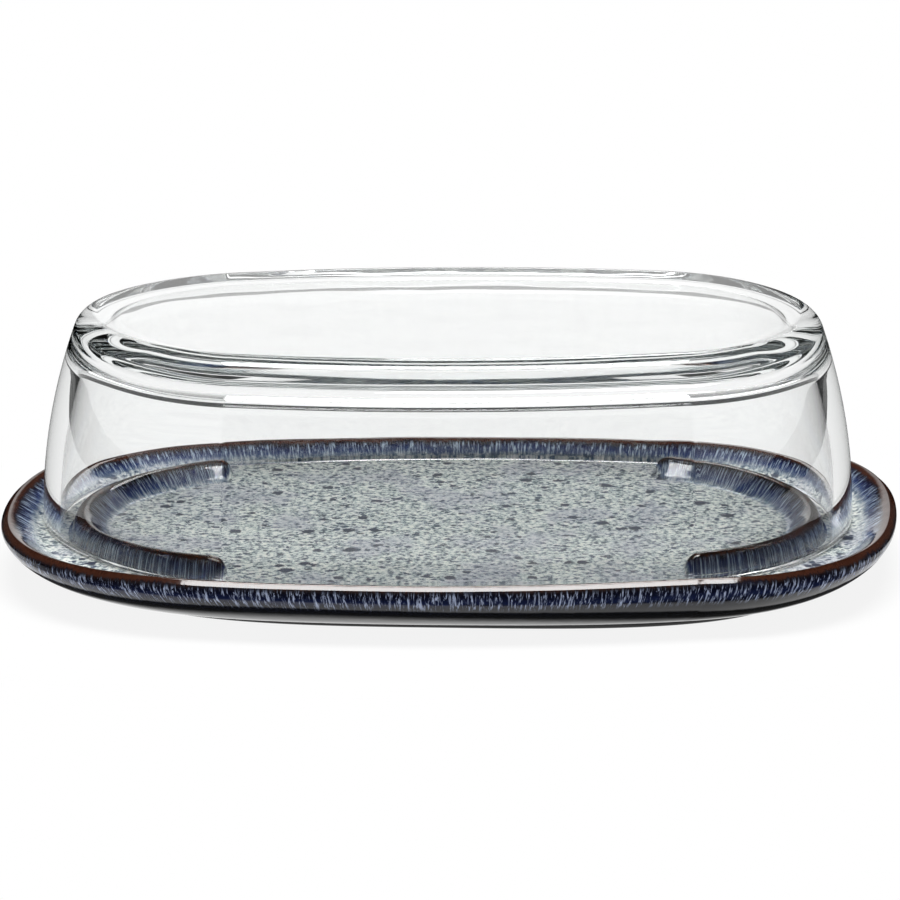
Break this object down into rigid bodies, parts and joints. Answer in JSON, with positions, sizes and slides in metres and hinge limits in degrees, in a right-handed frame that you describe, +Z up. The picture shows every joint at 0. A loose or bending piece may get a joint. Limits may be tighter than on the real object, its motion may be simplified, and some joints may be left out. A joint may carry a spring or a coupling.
{
  "type": "butter dish",
  "caption": "Oblong butter dish: a glazed stoneware tray with an upturned rim and C-shaped locating ridges under a thick, rounded clear glass cover that lifts off.",
  "frame": {"origin": "centre of the tray's foot, on the table it stands on", "axes": "+X along the dish, +Y across it, +Z up; the dish is alike front to back and end to end"},
  "size_m": [0.215, 0.134, 0.0612],
  "materials": {
    "reactive_glaze_stoneware": "high gloss reactive glaze: speckled pale celadon floor, navy sides with pale runs, iron-brown edges",
    "clear_pressed_glass": "clear, fire-polished, thick pressed glass"
  },
  "bodies": {
    "tray": {"tray": "reactive_glaze_stoneware"},
    "cover": {"cover": "clear_pressed_glass"}
  },
  "joints": [
    {"name": "cover_lift", "type": "slide", "parent": "tray", "child": "cover", "axis": [0, 0, 1], "range_m": [0, 0.08]}
  ]
}
